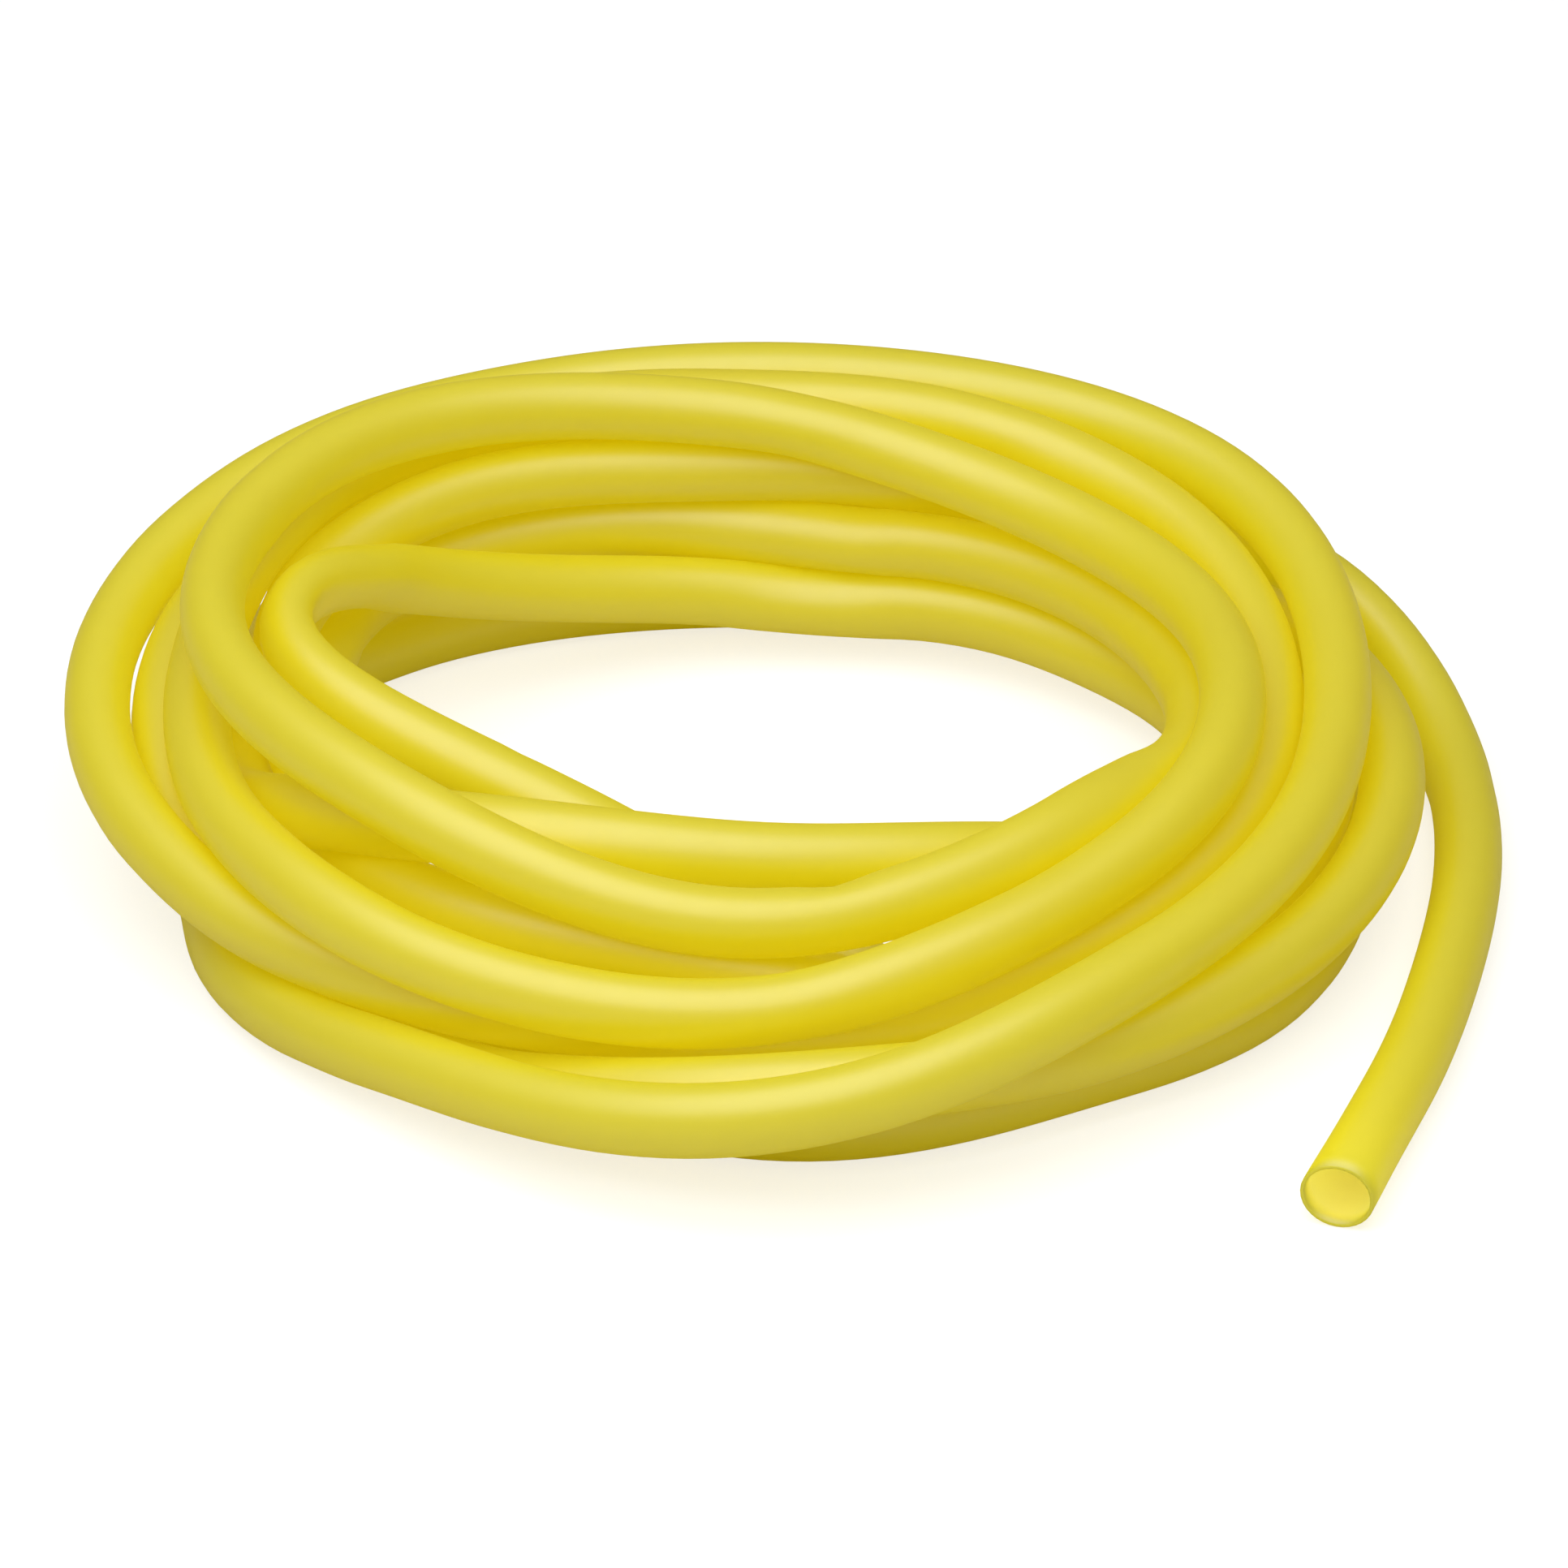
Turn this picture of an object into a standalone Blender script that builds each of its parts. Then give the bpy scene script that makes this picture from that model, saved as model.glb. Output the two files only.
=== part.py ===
"""A hank of flexible thin-walled tubing, laid down by hand in nine uneven laps.

One length of clear-yellow hose, 14.3 mm outside and 12.7 mm inside, lies on a floor.  It starts at a
cut end under the right side of the hank, crosses the hole as a chord, turns sharply back at the left,
runs nine loose laps clockwise seen from above, and leaves the top as a tail that comes down outside
the right side to a second cut end.

The hose is cut into four stretches with hairline gaps: the two straight mouths, the coil and the tail.
Units are metres, +Z is up, the floor is z = 0 and the origin is under the middle of the footprint.
"""
import math

import bmesh
import bpy
import numpy as np

MM = 0.001

# ---- driving dimensions -------------------------------------------------------------------------
HOSE_DIAMETER = 14.3 * MM     # outside, 9/16 in
WALL = 0.8 * MM               # leaves the 12.7 mm (1/2 in) bore
CLEARANCE = 0.8 * MM          # kept between neighbouring laps
SPLIT_GAP = 0.3 * MM          # between two stretches of the hose
MOUTH_LENGTH = 30.0 * MM      # straight stretch at each cut end
TAIL_LENGTH = 235.0 * MM      # from where the hose leaves the coil to the outer mouth
SIDES = 8                     # faces round the hose
SAG = 0.4 * MM                # how far a straight facet may cut the bend it stands for
LONGEST_FACET = 26.0 * MM
SHORTEST_FACET = 9.0 * MM
MOUTH_MARGIN = 5.0 * MM       # hose kept straight beyond a mouth

# ---- how the laps are let settle against each other ---------------------------------------------
SAME_BEND = 3.5               # diameters along the hose within which it isn't its own neighbour
WATCHED = 6.0 * MM            # pairs this much farther apart than touching are watched too
ROUNDS_PER_WATCH = 16         # rounds before the list of near pairs is drawn up again
FAIRING_SHARE = 0.6           # of the rounds, in which the line is kept fair as well
FAIRING = 0.5                 # pull towards a fair line in those rounds
LATE_FAIRING = 0.02           # and in the rest
HOMING = 0.04                 # pull back to the first line, as a share of the fairing
PUSH = 0.3                    # share of an overlap that each of the two stretches gives way by
COARSE_STEP = 0.6 * HOSE_DIAMETER
FINE_STEP = 0.3 * HOSE_DIAMETER
FINAL_STEP = 3.0 * MM

# ---- the way the hose lies, millimetres ---------------------------------------------------------
# from the hidden cut end, across the hole and round the sharp turn: x, y, height of the centreline
ACROSS = (
    (111, 19, 7), (107, -14, 7), (91, -42, 7), (65, -62, 7), (34, -65, 9), (6, -50, 13), (-20, -33, 21),
    (-50, -19, 31), (-79, -7, 41), (-100, 15, 47), (-94, 46, 45), (-70, 71, 34), (-43, 88, 24),
    (-11, 100, 18),
)

# the laps: distance from the middle and height of the centreline at eight places round the hank,
# in the order front, front left, left, back left, back, back right, right, front right
LAPS = (
    (None, None, None, None, None, (105, 15), (98, 16), (77, 36)),
    ((70, 43), (88, 46), (108, 22), (118, 27), (108, 30), (103, 28), (90, 33), (86, 44)),
    ((92, 40), (99, 54), (114, 60), (118, 63), (105, 56), (102, 44), (97, 46), (100, 42)),
    ((111, 31), (118, 36), (118, 41), (127, 52), (119, 54), (122, 43), (105, 31), (100, 27)),
    ((100, 21), (115, 23), (137, 33), (144, 46), (134, 54), (139, 47), (119, 38), (123, 36)),
    ((142, 25), (119, 12), (117, 7), (126, 7), (121, 7), (121, 7), (119, 7), (112, 7)),
    ((114, 7), (94, 7), (102, 7), (134, 16), (131, 7), (136, 18), (131, 25), (127, 22)),
    ((127, 22), (110, 7), (126, 29), (134, 42), (121, 33), (116, 21), (118, 18), (104, 7)),
    ((86, 26), (93, 30), (98, 29), (114, 44), (108, 42), None, None, None),
)

# off the top of the back and down outside the right side to the cut end that shows
TAIL = (
    (15, 109, 40), (49, 110, 35), (83, 109, 31), (114, 99, 26), (136, 75, 16), (146, 43, 7), (148, 9, 7),
    (145, -23, 7), (139, -54, 7), (132, -83, 7), (123, -112, 7), (112, -142, 7),
)


def remove_everything():
    for obj in list(bpy.data.objects):
        bpy.data.objects.remove(obj, do_unlink=True)


def stations():
    """All the places the centreline passes, in order along the hose, in metres."""
    places = list(ACROSS)
    for lap in LAPS:
        for eighth, station in enumerate(lap):
            if station is None:
                continue
            reach, height = station
            turned = math.radians(45.0 * eighth)
            places.append((-reach * math.sin(turned), -reach * math.cos(turned), height))
    places.extend(TAIL)
    return np.array(places, dtype=float) * MM


def travelled(points):
    """Distance along a run of points from its first one."""
    steps = np.linalg.norm(np.diff(points, axis=0), axis=1)
    return np.concatenate([[0.0], np.cumsum(steps)])


def evened(points, spacing):
    """The same line with its points at equal distances."""
    along = travelled(points)
    count = int(round(along[-1] / spacing)) + 1
    wanted = np.linspace(0.0, along[-1], count)
    return np.stack([np.interp(wanted, along, points[:, k]) for k in range(3)], axis=1)


def smooth_line(points, spacing):
    """Natural cubic spline through the points, with the distance between them as its parameter."""
    along = travelled(points)
    gap = np.diff(along)
    count = len(points)
    inner = np.arange(1, count - 1)
    system = np.eye(count)
    system[inner, inner - 1] = gap[:-1]
    system[inner, inner] = 2.0 * (gap[:-1] + gap[1:])
    system[inner, inner + 1] = gap[1:]
    bend = np.zeros((count, 3))
    bend[1:-1] = 6.0 * np.diff(np.diff(points, axis=0) / gap[:, None], axis=0)
    bend = np.linalg.solve(system, bend)
    wanted = np.linspace(0.0, along[-1], int(along[-1] / spacing * 8.0))
    left = np.clip(np.searchsorted(along, wanted, side="right") - 1, 0, count - 2)
    ahead = (along[left + 1] - wanted)[:, None]
    behind = (wanted - along[left])[:, None]
    width = gap[left][:, None]
    cubic = (bend[left] * ahead ** 3 + bend[left + 1] * behind ** 3) / (6.0 * width)
    straight_a = (points[left] / width - bend[left] * width / 6.0) * ahead
    straight_b = (points[left + 1] / width - bend[left + 1] * width / 6.0) * behind
    return evened(cubic + straight_a + straight_b, spacing)


def straight_ends(points):
    """The same line with a straight stretch at each cut end, a little longer than a mouth."""
    line = points.copy()
    for _ in range(2):
        along = travelled(line)
        last = along.searchsorted(MOUTH_LENGTH + MOUTH_MARGIN)
        part = (along[: last + 1] / along[last])[:, None]
        line[: last + 1] = line[0] + (line[last] - line[0]) * part
        line = line[::-1]
    return line


def eased_apart(points, rounds):
    """Move the line the little that lets two of its stretches lie against each other.

    Wherever two stretches are nearer than the hose is thick, both give way by the same amount; the
    line is kept fair and near where it was in between, and nothing goes through the floor.
    """
    reach = HOSE_DIAMETER + CLEARANCE
    line = points.copy()
    spacing = np.linalg.norm(points[1] - points[0])
    apart = int(SAME_BEND * HOSE_DIAMETER / spacing)
    order = np.arange(len(line))
    later = order[None, :] - order[:, None] > apart
    for step in range(rounds):
        if step % ROUNDS_PER_WATCH == 0:
            between = np.linalg.norm(line[:, None] - line[None], axis=2)
            one, other = np.nonzero(later & (between < reach + WATCHED))
        settling = step > FAIRING_SHARE * rounds
        stiff = LATE_FAIRING if settling else FAIRING
        fair = line.copy()
        fair[2:-2] = (4.0 * (line[1:-3] + line[3:-1]) - line[:-4] - line[4:]) / 6.0
        line = line + stiff * (fair - line) + HOMING * stiff * (points - line)
        for _ in range(5 if settling else 2):
            gap = line[one] - line[other]
            length = np.linalg.norm(gap, axis=1)
            push = gap * (PUSH * np.maximum(reach - length, 0.0) / length)[:, None]
            for axis in range(3):
                line[:, axis] += np.bincount(one, push[:, axis], len(line))
                line[:, axis] -= np.bincount(other, push[:, axis], len(line))
            line[:, 2] = np.maximum(line[:, 2], HOSE_DIAMETER / 2.0)
        line = straight_ends(line)
    return line


def directions(points):
    """Unit tangent at every point of a line."""
    along = travelled(points)
    tangent = np.gradient(points, along, axis=0)
    return tangent / np.linalg.norm(tangent, axis=1)[:, None]


def ring_places(points, start, end):
    """Distances for the rings of the solid: close where the hose bends sharply, wide where not."""
    along = travelled(points)
    turning = np.linalg.norm(np.gradient(directions(points), along, axis=0), axis=1)
    calm = np.convolve(np.pad(turning, 4, mode="edge"), np.ones(9) / 9.0, mode="valid")
    facet = np.clip(np.sqrt(8.0 * SAG / np.maximum(calm, 0.1)), SHORTEST_FACET, LONGEST_FACET)
    share = np.concatenate([[0.0], np.cumsum(np.diff(along) / facet[1:])])
    first, last = np.interp((start, end), along, share)
    count = int(math.ceil(last - first)) + 1
    return np.interp(np.linspace(first, last, count), share, along)


def sampled(points, values, places):
    """Values given at the points of a line, read off at distances along it."""
    along = travelled(points)
    return np.stack([np.interp(places, along, values[:, k]) for k in range(3)], axis=1)


def carried_frames(tangent):
    """Two directions across the line at each ring, carried along it without twisting."""
    side = np.cross(tangent[0], (0.0, 0.0, 1.0))
    sides = []
    for direction in tangent:
        side = side - direction * side.dot(direction)
        side = side / np.linalg.norm(side)
        sides.append(side)
    sides = np.array(sides)
    return sides, np.cross(sides, tangent)


def tubing_material():
    """Soft translucent yellow tubing."""
    material = bpy.data.materials.new("tubing")
    material.use_nodes = True
    shader = material.node_tree.nodes["Principled BSDF"]
    shader.inputs["Base Color"].default_value = (0.72, 0.60, 0.03, 1.0)
    shader.inputs["Roughness"].default_value = 0.45
    return material


def hollow_hose(name, line, places, material):
    """One closed solid: an outer skin, the bore, and a flat ring of wall at each end."""
    centres = sampled(line, line, places)
    tangent = sampled(line, directions(line), places)
    tangent /= np.linalg.norm(tangent, axis=1)[:, None]
    across, up = carried_frames(tangent)
    turned = 2.0 * math.pi * (np.arange(SIDES) + 0.5) / SIDES
    rim = np.cos(turned)[None, :, None] * across[:, None] + np.sin(turned)[None, :, None] * up[:, None]
    outer = centres[:, None] + rim * (HOSE_DIAMETER / 2.0)
    bore = centres[:, None] + rim * (HOSE_DIAMETER / 2.0 - WALL)
    mesh = bmesh.new()
    outside = [[mesh.verts.new(corner) for corner in ring] for ring in outer]
    inside = [[mesh.verts.new(corner) for corner in ring] for ring in bore]
    last = len(centres) - 1
    for side in range(SIDES):
        after = (side + 1) % SIDES
        for ring in range(last):
            here = outside[ring]
            there = outside[ring + 1]
            mesh.faces.new((here[side], here[after], there[after], there[side]))
            here = inside[ring]
            there = inside[ring + 1]
            mesh.faces.new((here[after], here[side], there[side], there[after]))
        mesh.faces.new((outside[0][after], outside[0][side], inside[0][side], inside[0][after]))
        mesh.faces.new((outside[last][side], outside[last][after], inside[last][after], inside[last][side]))
    bmesh.ops.triangulate(mesh, faces=mesh.faces[:])
    bmesh.ops.recalc_face_normals(mesh, faces=mesh.faces[:])
    data = bpy.data.meshes.new(name)
    mesh.to_mesh(data)
    mesh.free()
    data.materials.append(material)
    obj = bpy.data.objects.new(name, data)
    bpy.context.scene.collection.objects.link(obj)
    return obj


def build():
    remove_everything()
    line = eased_apart(smooth_line(stations(), COARSE_STEP), 300)
    line = eased_apart(smooth_line(line, FINE_STEP), 100)
    line = straight_ends(smooth_line(line, FINAL_STEP))
    total = travelled(line)[-1]
    half = SPLIT_GAP / 2.0
    inner = MOUTH_LENGTH
    outer = total - MOUTH_LENGTH
    leaves = outer - TAIL_LENGTH
    material = tubing_material()
    pieces = [
        hollow_hose("hose_inner_mouth", line, np.array((0.0, inner - half)), material),
        hollow_hose("hose_coil", line, ring_places(line, inner + half, leaves - half), material),
        hollow_hose("hose_tail", line, ring_places(line, leaves + half, outer - half), material),
        hollow_hose("hose_outer_mouth", line, np.array((outer + half, total)), material),
    ]
    corners = np.array([tuple(v.co) for piece in pieces for v in piece.data.vertices])
    low = corners.min(axis=0)
    high = corners.max(axis=0)
    middle = ((low[0] + high[0]) / 2.0, (low[1] + high[1]) / 2.0, low[2])
    for piece in pieces:
        for vertex in piece.data.vertices:
            vertex.co = (vertex.co[0] - middle[0], vertex.co[1] - middle[1], vertex.co[2] - middle[2])
        piece.data.update()
    return pieces, line - np.array(middle)


build()
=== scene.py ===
import math

import bpy
import numpy as np
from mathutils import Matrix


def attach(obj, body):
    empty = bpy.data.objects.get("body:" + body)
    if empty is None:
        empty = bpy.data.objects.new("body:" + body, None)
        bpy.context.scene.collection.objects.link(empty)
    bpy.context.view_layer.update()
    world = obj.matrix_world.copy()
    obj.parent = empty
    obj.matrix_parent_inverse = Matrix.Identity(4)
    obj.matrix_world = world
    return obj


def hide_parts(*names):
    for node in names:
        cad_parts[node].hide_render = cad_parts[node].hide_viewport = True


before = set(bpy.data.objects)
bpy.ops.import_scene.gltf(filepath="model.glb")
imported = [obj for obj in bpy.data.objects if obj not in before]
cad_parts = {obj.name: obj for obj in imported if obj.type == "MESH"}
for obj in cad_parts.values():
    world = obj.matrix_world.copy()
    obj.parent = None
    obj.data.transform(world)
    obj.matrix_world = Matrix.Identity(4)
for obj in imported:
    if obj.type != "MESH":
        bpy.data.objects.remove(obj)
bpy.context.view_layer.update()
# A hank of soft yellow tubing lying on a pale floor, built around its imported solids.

MM = 0.001

# ---- how the hose lies --------------------------------------------------------------------------
# One length of 14.3 mm hose laid down by hand: from the hidden cut end across the hole, round a
# sharp turn at the left, nine loose laps clockwise, then off the top and down outside the right.
# Its places are the solids' own: listed stations, a smooth line, and laps eased off each other.
HOSE_DIAMETER = 14.3 * MM
WALL = 0.8 * MM
CLEARANCE = 0.25 * MM         # kept between neighbouring laps
MOUTH_LENGTH = 30.0 * MM      # straight stretch at each cut end
MOUTH_MARGIN = 5.0 * MM       # hose kept straight beyond a mouth
SAME_BEND = 3.5               # diameters along the hose within which it isn't its own neighbour
WATCHED = 6.0 * MM            # pairs this much farther apart than touching are watched too
ROUNDS_PER_WATCH = 16         # rounds before the list of near pairs is drawn up again
FAIRING_SHARE = 0.6           # of the rounds, in which the line is kept fair as well
FAIRING = 0.5                 # pull towards a fair line in those rounds
LATE_FAIRING = 0.02           # and in the rest
HOMING = 0.04                 # pull back to the first line, as a share of the fairing
PUSH = 0.3                    # share of an overlap that each of the two stretches gives way by
COARSE_STEP = 0.6 * HOSE_DIAMETER
FINE_STEP = 0.3 * HOSE_DIAMETER
RING_SPACING = 4.5 * MM

# from the hidden cut end, across the hole and round the sharp turn: x, y, height of the centreline
ACROSS = (
    (111, 19, 7), (107, -14, 7), (91, -42, 7), (65, -62, 7), (34, -65, 9), (6, -50, 13), (-20, -33, 21),
    (-50, -19, 31), (-79, -7, 41), (-100, 15, 47), (-94, 46, 45), (-70, 71, 34), (-43, 88, 24),
    (-11, 100, 18),
)

# the laps: distance from the middle and height of the centreline at eight places round the hank,
# in the order front, front left, left, back left, back, back right, right, front right
LAPS = (
    (None, None, None, None, None, (105, 15), (98, 16), (77, 36)),
    ((70, 43), (88, 46), (108, 22), (118, 27), (108, 30), (103, 28), (90, 33), (86, 44)),
    ((92, 40), (99, 54), (114, 60), (118, 63), (105, 56), (102, 44), (97, 46), (100, 42)),
    ((111, 31), (118, 36), (118, 41), (127, 52), (119, 54), (122, 43), (105, 31), (100, 27)),
    ((100, 21), (115, 23), (137, 33), (144, 46), (134, 54), (139, 47), (119, 38), (123, 36)),
    ((142, 25), (119, 12), (117, 7), (126, 7), (121, 7), (121, 7), (119, 7), (112, 7)),
    ((114, 7), (94, 7), (102, 7), (134, 16), (131, 7), (136, 18), (131, 25), (127, 22)),
    ((127, 22), (110, 7), (126, 29), (134, 42), (121, 33), (116, 21), (118, 18), (104, 7)),
    ((86, 26), (93, 30), (98, 29), (114, 44), (108, 42), None, None, None),
)

# off the top of the back and down outside the right side to the cut end that shows
TAIL = (
    (15, 109, 40), (49, 110, 35), (83, 109, 31), (114, 99, 26), (136, 75, 16), (146, 43, 7), (148, 9, 7),
    (145, -23, 7), (139, -54, 7), (132, -83, 7), (123, -112, 7), (112, -142, 7),
)


def stations():
    """Places of the centreline: x = -r sin(turn), y = -r cos(turn) for the laps, as listed else."""
    places = list(ACROSS)
    for lap in LAPS:
        for eighth, station in enumerate(lap):
            if station is None:
                continue
            reach, height = station
            turned = math.radians(45.0 * eighth)
            places.append((-reach * math.sin(turned), -reach * math.cos(turned), height))
    places.extend(TAIL)
    return np.array(places, dtype=float) * MM


def travelled(points):
    """Distance along a run of points: the running sum of the steps between them."""
    steps = np.linalg.norm(np.diff(points, axis=0), axis=1)
    return np.concatenate([[0.0], np.cumsum(steps)])


def evened(points, spacing):
    """The same line with its points at equal distances."""
    along = travelled(points)
    wanted = np.linspace(0.0, along[-1], int(round(along[-1] / spacing)) + 1)
    return np.stack([np.interp(wanted, along, points[:, k]) for k in range(3)], axis=1)


def smooth_line(points, spacing):
    """Natural cubic spline: between two points a cubic whose bend runs evenly from one to the next."""
    along = travelled(points)
    gap = np.diff(along)
    count = len(points)
    inner = np.arange(1, count - 1)
    system = np.eye(count)
    system[inner, inner - 1] = gap[:-1]
    system[inner, inner] = 2.0 * (gap[:-1] + gap[1:])
    system[inner, inner + 1] = gap[1:]
    bend = np.zeros((count, 3))
    bend[1:-1] = 6.0 * np.diff(np.diff(points, axis=0) / gap[:, None], axis=0)
    bend = np.linalg.solve(system, bend)
    wanted = np.linspace(0.0, along[-1], int(along[-1] / spacing * 8.0))
    left = np.clip(np.searchsorted(along, wanted, side="right") - 1, 0, count - 2)
    ahead = (along[left + 1] - wanted)[:, None]
    behind = (wanted - along[left])[:, None]
    width = gap[left][:, None]
    cubic = (bend[left] * ahead ** 3 + bend[left + 1] * behind ** 3) / (6.0 * width)
    straight_a = (points[left] / width - bend[left] * width / 6.0) * ahead
    straight_b = (points[left + 1] / width - bend[left + 1] * width / 6.0) * behind
    return evened(cubic + straight_a + straight_b, spacing)


def straight_ends(points):
    """The same line with a straight stretch at each cut end, a little longer than a mouth."""
    line = points.copy()
    for _ in range(2):
        along = travelled(line)
        last = along.searchsorted(MOUTH_LENGTH + MOUTH_MARGIN)
        part = (along[: last + 1] / along[last])[:, None]
        line[: last + 1] = line[0] + (line[last] - line[0]) * part
        line = line[::-1]
    return line


def eased_apart(points, rounds):
    """Move the line the little that lets two of its stretches lie against each other.

    Wherever two stretches are nearer than the hose is thick, both give way by the same amount; the
    line is kept fair and near where it was in between, and nothing goes through the floor.
    """
    reach = HOSE_DIAMETER + CLEARANCE
    line = points.copy()
    spacing = np.linalg.norm(points[1] - points[0])
    apart = int(SAME_BEND * HOSE_DIAMETER / spacing)
    order = np.arange(len(line))
    later = order[None, :] - order[:, None] > apart
    for step in range(rounds):
        if step % ROUNDS_PER_WATCH == 0:
            between = np.linalg.norm(line[:, None] - line[None], axis=2)
            one, other = np.nonzero(later & (between < reach + WATCHED))
        settling = step > FAIRING_SHARE * rounds
        stiff = LATE_FAIRING if settling else FAIRING
        fair = line.copy()
        fair[2:-2] = (4.0 * (line[1:-3] + line[3:-1]) - line[:-4] - line[4:]) / 6.0
        line = line + stiff * (fair - line) + HOMING * stiff * (points - line)
        for _ in range(5 if settling else 2):
            gap = line[one] - line[other]
            length = np.linalg.norm(gap, axis=1)
            push = gap * (PUSH * np.maximum(reach - length, 0.0) / length)[:, None]
            for axis in range(3):
                line[:, axis] += np.bincount(one, push[:, axis], len(line))
                line[:, axis] -= np.bincount(other, push[:, axis], len(line))
            line[:, 2] = np.maximum(line[:, 2], HOSE_DIAMETER / 2.0)
        line = straight_ends(line)
    return line


centreline = eased_apart(smooth_line(stations(), COARSE_STEP), 300)
centreline = eased_apart(smooth_line(centreline, FINE_STEP), 100)
centreline = smooth_line(centreline, RING_SPACING)
footprint = (centreline.min(axis=0) + centreline.max(axis=0)) / 2.0
centreline -= (footprint[0], footprint[1], 0.0)
run = travelled(centreline)

# ---- where it is seen from ----------------------------------------------------------------------
# A long lens set up in front of the hank at a little above table height, tilted down 28 degrees and
# level from side to side, so the laps are seen from above and the hole is a flat oval.
TILT_DOWN = 28.0
view_from = bpy.data.cameras.new("view_from_the_front")
view_from.lens = 197.5        # millimetres
view_from.sensor_width = 36.0
view_from.clip_end = 30.0
camera = bpy.data.objects.new("view_from_the_front", view_from)
camera.location = (4.1 * MM - footprint[0], -1585.9 * MM - footprint[1], 866.0 * MM)
camera.rotation_euler = (math.radians(90.0 - TILT_DOWN), 0.0, 0.0)
bpy.context.scene.collection.objects.link(camera)
bpy.context.scene.camera = camera
bpy.context.scene.view_settings.view_transform = "Standard"
bpy.context.scene.cycles.diffuse_bounces = 12
bpy.context.scene.cycles.max_bounces = 16

# ---- the hose -----------------------------------------------------------------------------------
# Thin-walled soft vinyl tubing, 12.7 mm bore, extruded and coiled while still a little warm, so its
# turns have gone slightly oval.  It is one piece from cut to cut and nothing is fixed to it.
SIDES = 32


def unit(vectors):
    """Each vector divided by its length."""
    return vectors / np.linalg.norm(vectors, axis=-1, keepdims=True)


def linear(hex_colour):
    """An sRGB hex colour as linear red, green, blue and alpha."""
    parts = np.array([int(hex_colour[i:i + 2], 16) for i in (1, 3, 5)]) / 255.0
    low = parts / 12.92
    high = ((parts + 0.055) / 1.055) ** 2.4
    return (*np.where(parts <= 0.04045, low, high), 1.0)


tangent = unit(np.gradient(centreline, run, axis=0))
across = unit(np.cross(tangent, (0.0, 0.0, 1.0)))
upward = np.cross(across, tangent)
bending = np.gradient(tangent, run, axis=0)

turn = 2.0 * np.pi * np.arange(SIDES) / SIDES
facing = np.cos(turn)[None, :, None] * across[:, None] + np.sin(turn)[None, :, None] * upward[:, None]


def bent_oval(distance_from_axis):
    """Radius of the hose wall at each ring and side.

    Bending pulls the wall in towards and away from the middle of the bend and pushes it out above
    and below: r (1 - q cos 2a), with a measured from the direction of the bend and q growing with
    the square of the bend up to a limit.
    """
    softness = 22.0 * MM
    most = 0.06
    strength = np.linalg.norm(bending, axis=1)
    towards = unit(bending + 1e-9)
    lined_up = (facing * towards[:, None]).sum(axis=2)
    squash = np.minimum((strength * softness) ** 2, most)
    smooth = np.convolve(np.pad(squash, 6, mode="edge"), np.ones(13) / 13.0, mode="valid")
    return distance_from_axis * (1.0 - smooth[:, None] * (2.0 * lined_up ** 2 - 1.0))


def pressed_in(place, towards, depth, length, spread):
    """How far the wall is pushed in at each ring and side by one soft crease.

    depth exp(-(s / length)^2) exp(-(a / spread)^2), with s the distance along the hose from the ring
    nearest to the place, and a the angle round the hose from the side that faces `towards`.
    """
    nearest = np.linalg.norm(centreline - np.array(place) * MM, axis=1).argmin()
    from_place = (run - run[nearest]) / length
    direction = np.array(towards, dtype=float)
    lined_up = (facing * (direction / np.linalg.norm(direction))).sum(axis=2)
    angle = np.arccos(np.clip(lined_up, -1.0, 1.0)) / spread
    return depth * np.exp(-from_place[:, None] ** 2 - angle ** 2)


# The sharp turn at the left has buckled on its inside, and one lap has a small dent on top in front.
creases = pressed_in((-103, 33, 46), (0.95, 0.1, -0.1), 3.6 * MM, 16.0 * MM, 0.9)
creases += pressed_in((14, -88, 40), (0.0, 0.35, 0.9), 1.3 * MM, 6.0 * MM, 0.6)
# The cut end that shows has sprung a little wider than it is tall.
WIDER = 0.055
LOWER = 0.04
sprung = np.exp(-((run[-1] - run) / (14.0 * MM)) ** 2)[:, None]
end_oval = 1.0 + sprung * (WIDER * np.cos(turn)[None, :] ** 2 - LOWER * np.sin(turn)[None, :] ** 2)


def skin(distance_from_axis):
    """Points of one skin of the wall, with the creases and the sprung end, resting on the floor."""
    reach = bent_oval(distance_from_axis) * end_oval - creases
    points = centreline[:, None] + facing * reach[:, :, None]
    points[:, :, 2] = np.maximum(points[:, :, 2], HOSE_DIAMETER / 2.0 - distance_from_axis)
    return points


outer_skin = skin(HOSE_DIAMETER / 2.0)
inner_skin = skin(HOSE_DIAMETER / 2.0 - WALL)


def tube_mesh(name, outside, inside):
    """Close two skins of rings x sides points into one wall, with a flat ring of wall at each end."""
    rings, sides = outside.shape[:2]
    skin = rings * sides
    ring, side = np.meshgrid(np.arange(rings - 1), np.arange(sides), indexing="ij")
    here = ring * sides + side
    after = ring * sides + (side + 1) % sides
    out_faces = np.stack([here, here + sides, after + sides, after], axis=-1).reshape(-1, 4)
    in_faces = np.stack([after, after + sides, here + sides, here], axis=-1).reshape(-1, 4) + skin
    spot = np.arange(sides)
    beside = (spot + 1) % sides
    first = np.stack([spot, beside, beside + skin, spot + skin], axis=-1)
    end = (rings - 1) * sides
    last = np.stack([beside, spot, spot + skin, beside + skin], axis=-1) + end
    faces = np.concatenate([out_faces, in_faces, first, last])
    mesh = bpy.data.meshes.new(name)
    mesh.from_pydata(
        np.concatenate([outside.reshape(-1, 3), inside.reshape(-1, 3)]).tolist(), [], faces.tolist()
    )
    mesh.shade_smooth()
    mesh.update()
    return mesh


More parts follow.
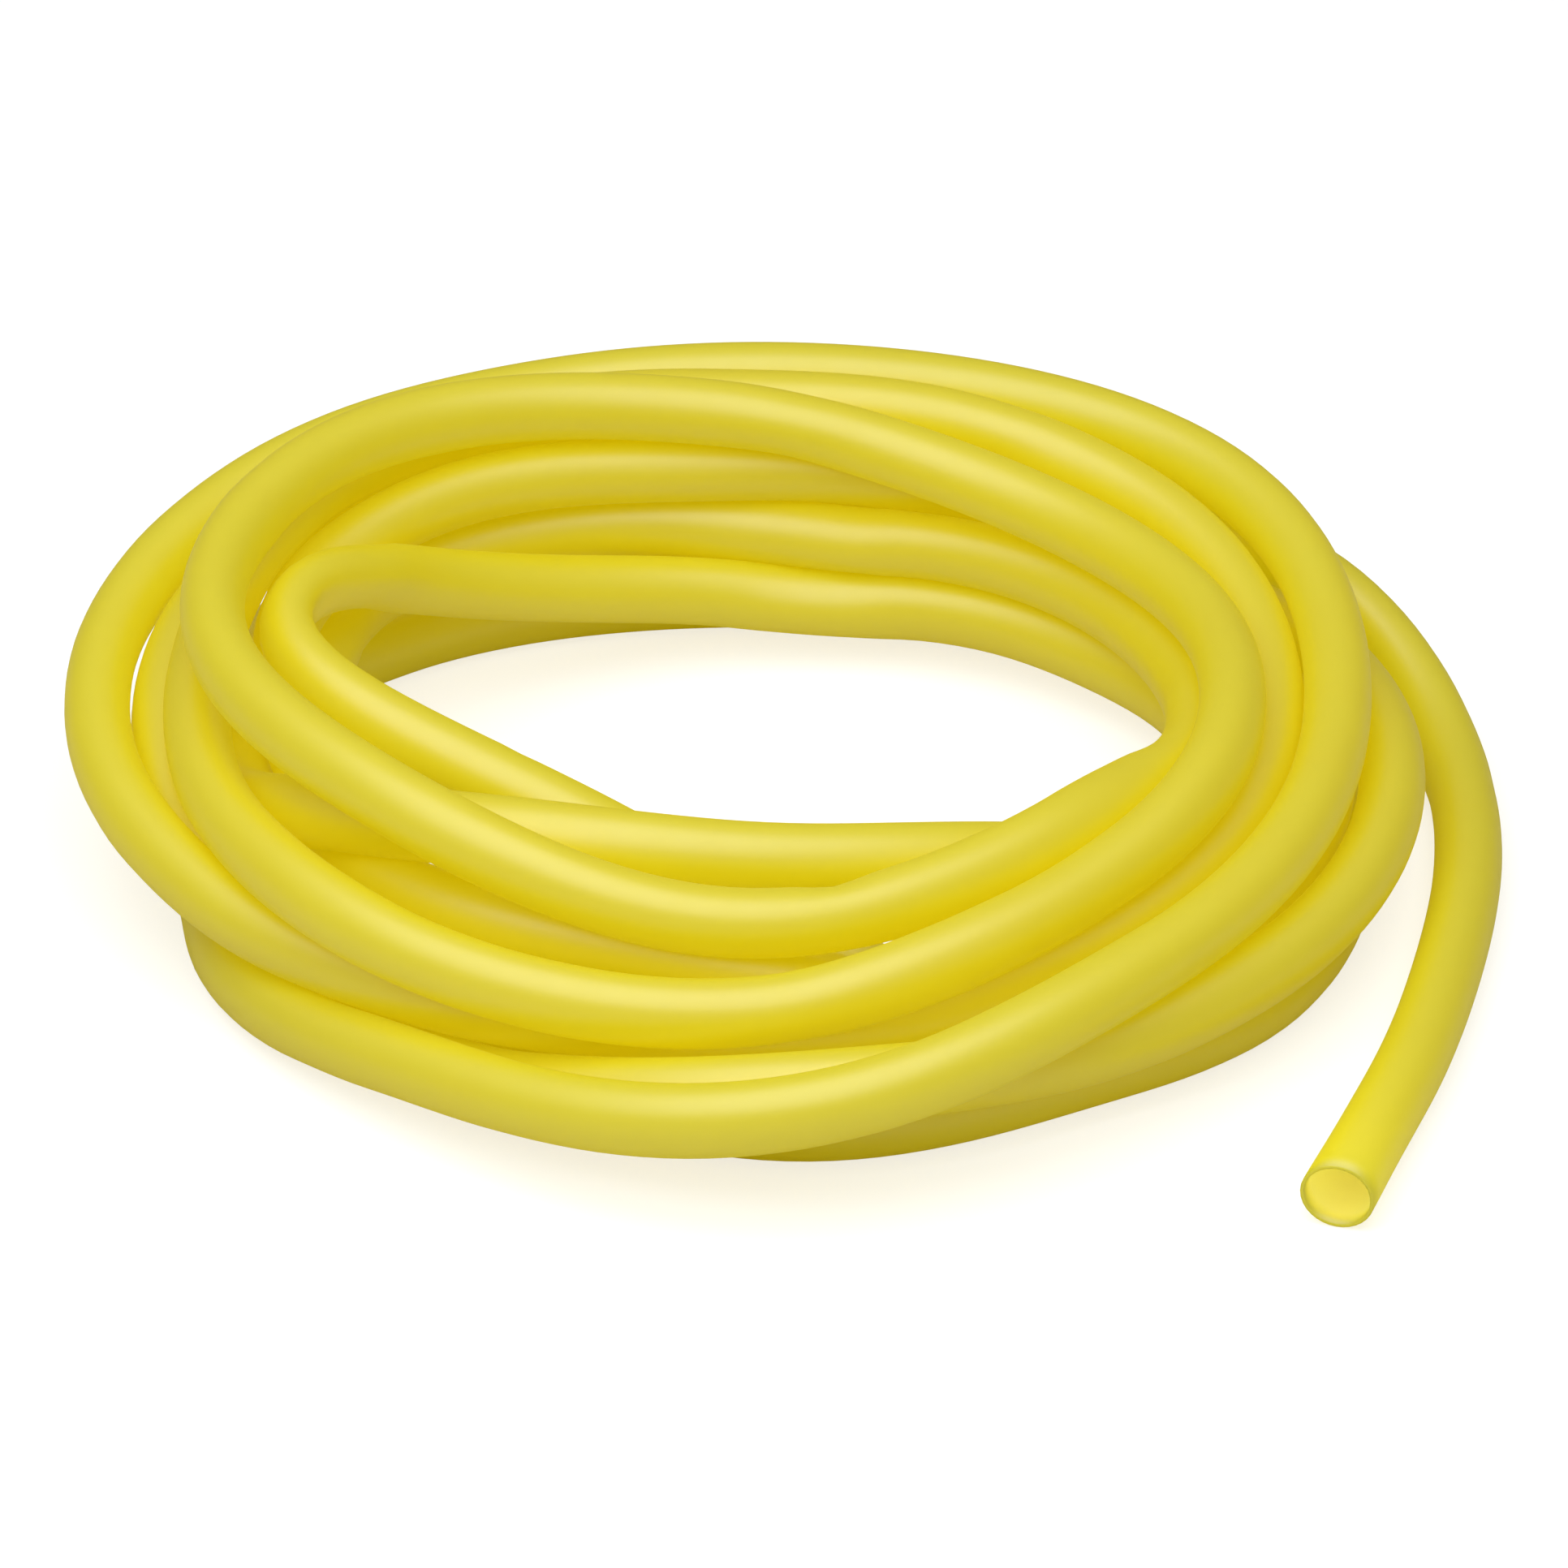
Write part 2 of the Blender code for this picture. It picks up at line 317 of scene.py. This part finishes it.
hose = bpy.data.objects.new("hose", tube_mesh("hose", outer_skin, inner_skin))
bpy.context.scene.collection.objects.link(hose)


def point_values(mesh, name, values):
    """Store one number, or one vector, at every point of a mesh for its material to read."""
    kind, slot = ("FLOAT", "value") if values.ndim == 1 else ("FLOAT_VECTOR", "vector")
    mesh.attributes.new(name, kind, "POINT").data.foreach_set(slot, np.ravel(values))


# 1 on the bore and 0 on the outside and on the cut rims.
rings_inside = np.ones(len(run))
rings_inside[[0, -1]] = 0.0
point_values(hose.data, "bore", np.repeat(np.concatenate([np.zeros(len(run)), rings_inside]), SIDES))

# The wall is given a painted glow, an emission that stands in for light wandering inside it: a little
# everywhere, more in the bore, most just inside a cut end. The values are brightnesses, with 1 for a white
# that fills the room.
PAINTED_GLOW_OUTSIDE = 0.11
PAINTED_GLOW_IN_THE_BORE = 0.28
PAINTED_GLOW_BY_THE_CUT = 1.5
PAINTED_GLOW_FADES_OVER = 25.0 * MM
from_an_end = np.minimum(run, run[-1] - run) / PAINTED_GLOW_FADES_OVER
painted_glow_inside = PAINTED_GLOW_IN_THE_BORE + (PAINTED_GLOW_BY_THE_CUT - PAINTED_GLOW_IN_THE_BORE) * np.exp(-from_an_end)
painted_glow_inside *= rings_inside
painted_glow_outside = np.full(len(run), PAINTED_GLOW_OUTSIDE)
point_values(hose.data, "painted_glow", np.repeat(np.concatenate([painted_glow_outside, painted_glow_inside]), SIDES))

# Where a point is on the hose: two coordinates round it and the distance along it, in metres.
place = np.empty((2, len(run), SIDES, 3))
place[..., 0] = np.cos(turn) * HOSE_DIAMETER / 2.0
place[..., 1] = np.sin(turn) * HOSE_DIAMETER / 2.0
place[..., 2] = run[:, None]
point_values(hose.data, "hose_place", place.reshape(-1, 3))


def add_node(tree, kind, settings=None, inputs=None, links=()):
    """Add one node with its settings, its input values and the links into it."""
    node = tree.nodes.new(kind)
    for name, value in (settings or {}).items():
        setattr(node, name, value)
    for socket, value in (inputs or {}).items():
        node.inputs[socket].default_value = value
    for source, socket in links:
        tree.links.new(source, node.inputs[socket])
    return node


# Plasticised PVC dyed through and extruded with a satin skin: part of the light goes on through the wall and
# comes out deeper yellow, and the skin gives a broad soft gloss. A painted golden glow from the whole outside
# lifts the shaded crevices.
DYE_THIN = linear("#FBF71D")
DYE_THICK = linear("#FAF315")
# The bore's paler yellow is painted light: it brightens the inside seen in the mouth.
PAINTED_PALE_BORE = linear("#FCF889")
# Colours of the painted glow: golden on the outside, pale in the bore.
PAINTED_GOLDEN_GLOW = linear("#F3D700")
PAINTED_PALE_GLOW = linear("#FCF6A6")
THROUGH_OUTSIDE = 0.5         # share of the light that goes on through the wall
THROUGH_THE_BORE = 0.8
tubing = bpy.data.materials.new("extruded_soft_vinyl")
tubing.use_nodes = True
tubing.cycles.emission_sampling = "NONE"
vinyl = tubing.node_tree
shader = vinyl.nodes["Principled BSDF"]
bore = add_node(vinyl, "ShaderNodeAttribute", {"attribute_name": "bore"})
painted_glow = add_node(vinyl, "ShaderNodeAttribute", {"attribute_name": "painted_glow"})
hose_place = add_node(vinyl, "ShaderNodeAttribute", {"attribute_name": "hose_place"})

# The dye lies a little thicker and thinner in soft patches about 15 mm across.
patches = add_node(
    vinyl, "ShaderNodeTexNoise", None, {"Scale": 1.0 / (15.0 * MM), "Detail": 2.0},
    [(hose_place.outputs["Vector"], "Vector")],
)
dye_outside = add_node(
    vinyl, "ShaderNodeMix", {"data_type": "RGBA"}, {"A": DYE_THIN, "B": DYE_THICK},
    [(patches.outputs["Fac"], "Factor")],
)
# The dye outside, and in the bore a paler colour that paints in its brighter look.
dye_and_painted_bore = add_node(
    vinyl, "ShaderNodeMix", {"data_type": "RGBA"}, {"B": PAINTED_PALE_BORE},
    [(bore.outputs["Fac"], "Factor"), (dye_outside.outputs["Result"], "A")],
)
painted_glow_colour = add_node(
    vinyl, "ShaderNodeMix", {"data_type": "RGBA"}, {"A": PAINTED_GOLDEN_GLOW, "B": PAINTED_PALE_GLOW},
    [(bore.outputs["Fac"], "Factor")],
)

# The die leaves faint lines along the hose, 1.3 mm apart, and handling dulls the skin in patches.
along_the_hose = add_node(
    vinyl, "ShaderNodeMapping", None, {"Scale": (1.0, 1.0, 0.02)}, [(hose_place.outputs["Vector"], "Vector")],
)
die_lines = add_node(
    vinyl, "ShaderNodeTexNoise", None, {"Scale": 1.0 / (1.3 * MM), "Detail": 1.0},
    [(along_the_hose.outputs["Vector"], "Vector")],
)
relief = add_node(
    vinyl, "ShaderNodeBump", None, {"Strength": 1.0, "Distance": 0.008 * MM},
    [(die_lines.outputs["Fac"], "Height")],
)
dulled = add_node(
    vinyl, "ShaderNodeTexNoise", None, {"Scale": 1.0 / (6.0 * MM), "Detail": 3.0},
    [(hose_place.outputs["Vector"], "Vector")],
)
body_roughness = add_node(
    vinyl, "ShaderNodeMapRange", None, {"From Min": 0.3, "From Max": 0.7, "To Min": 0.44, "To Max": 0.58},
    [(dulled.outputs["Fac"], "Value")],
)
vinyl.links.new(dye_and_painted_bore.outputs["Result"], shader.inputs["Base Color"])
vinyl.links.new(body_roughness.outputs["Result"], shader.inputs["Roughness"])
vinyl.links.new(relief.outputs["Normal"], shader.inputs["Normal"])
vinyl.links.new(relief.outputs["Normal"], shader.inputs["Coat Normal"])
# Painted glow: the wall gives off golden light outside and pale light in the bore, as if lit through the
# laps.
vinyl.links.new(painted_glow_colour.outputs["Result"], shader.inputs["Emission Color"])
vinyl.links.new(painted_glow.outputs["Fac"], shader.inputs["Emission Strength"])
shader.inputs["IOR"].default_value = 1.5
shader.inputs["Specular IOR Level"].default_value = 0.8
shader.inputs["Coat Weight"].default_value = 1.0
shader.inputs["Coat Roughness"].default_value = 0.45
shader.inputs["Coat IOR"].default_value = 2.4
through = add_node(vinyl, "ShaderNodeBsdfTranslucent", None, None, [(dye_and_painted_bore.outputs["Result"], "Color")])
passing = add_node(
    vinyl, "ShaderNodeMix", {"data_type": "FLOAT"}, {"A": THROUGH_OUTSIDE, "B": THROUGH_THE_BORE},
    [(bore.outputs["Fac"], "Factor")],
)
wall = add_node(
    vinyl, "ShaderNodeMixShader", None, None,
    [(passing.outputs["Result"], "Fac"), (shader.outputs[0], 1), (through.outputs[0], 2)],
)
vinyl.links.new(wall.outputs[0], vinyl.nodes["Material Output"].inputs["Surface"])
hose.data.materials.append(tubing)

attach(hose, "root")
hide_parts("hose_inner_mouth", "hose_coil", "hose_tail", "hose_outer_mouth")

# ---- floor and light ----------------------------------------------------------------------------
# A back-lit white sweep in an evenly lit room, with one large soft box overhead, a little to the left
# and towards the front, so every lap has one broad pale highlight along its upper side.
FLOOR_HALF = 6.0
PAPER = "#C0C0C0"
PAPER_GLOW = 0.68             # light through the back-lit sheet
floor_mesh = bpy.data.meshes.new("floor")
floor_mesh.from_pydata(
    [(-FLOOR_HALF, -FLOOR_HALF, 0.0), (FLOOR_HALF, -FLOOR_HALF, 0.0), (FLOOR_HALF, FLOOR_HALF, 0.0),
     (-FLOOR_HALF, FLOOR_HALF, 0.0)], [], [(0, 1, 2, 3)]
)
floor = bpy.data.objects.new("floor", floor_mesh)
bpy.context.scene.collection.objects.link(floor)
paper = bpy.data.materials.new("white_paper_sweep")
paper.use_nodes = True
paper_shader = paper.node_tree.nodes["Principled BSDF"]
paper_shader.inputs["Base Color"].default_value = linear(PAPER)
paper_shader.inputs["Roughness"].default_value = 0.9
paper_shader.inputs["Specular IOR Level"].default_value = 0.0
paper_shader.inputs["Emission Color"].default_value = (1.0, 1.0, 1.0, 1.0)
paper_shader.inputs["Emission Strength"].default_value = PAPER_GLOW
floor_mesh.materials.append(paper)
# The sweep's own brightness lights only the sweep, so the hose isn't lit from below by it.
lit_by_the_floor = bpy.data.collections.new("lit_by_the_floor")
lit_by_the_floor.objects.link(floor)
floor.light_linking.receiver_collection = lit_by_the_floor

# The room's light grows from the horizon to straight overhead, as under a white ceiling.
LOW_SKY = 0.14
HIGH_SKY = 0.36
room = bpy.data.worlds.new("even_white_room")
room.use_nodes = True
sky = room.node_tree
background = sky.nodes["Background"]
background.inputs["Color"].default_value = (1.0, 1.0, 1.0, 1.0)
whereabouts = add_node(sky, "ShaderNodeTexCoord")
height = add_node(sky, "ShaderNodeSeparateXYZ", None, None, [(whereabouts.outputs["Generated"], 0)])
brightness = add_node(
    sky, "ShaderNodeMapRange", None, {"To Min": LOW_SKY, "To Max": HIGH_SKY},
    [(height.outputs["Z"], "Value")],
)
sky.links.new(brightness.outputs["Result"], background.inputs["Strength"])
bpy.context.scene.world = room


def soft_box(name, place, aim, size, energy):
    """A square area light at a place, turned to face its aim."""
    light = bpy.data.lights.new(name, "AREA")
    light.shape = "SQUARE"
    light.size = size
    light.energy = energy
    box = bpy.data.objects.new(name, light)
    box.location = place
    away = np.array(place, dtype=float) - np.array(aim, dtype=float)
    flat = math.hypot(away[0], away[1])
    box.rotation_euler = (math.atan2(flat, away[2]), 0.0, math.atan2(away[1], away[0]) + math.pi / 2.0)
    bpy.context.scene.collection.objects.link(box)


soft_box("overhead_soft_box", (-0.15, -0.45, 1.0), (0.0, 0.0, 0.0), 1.4, 11.5)
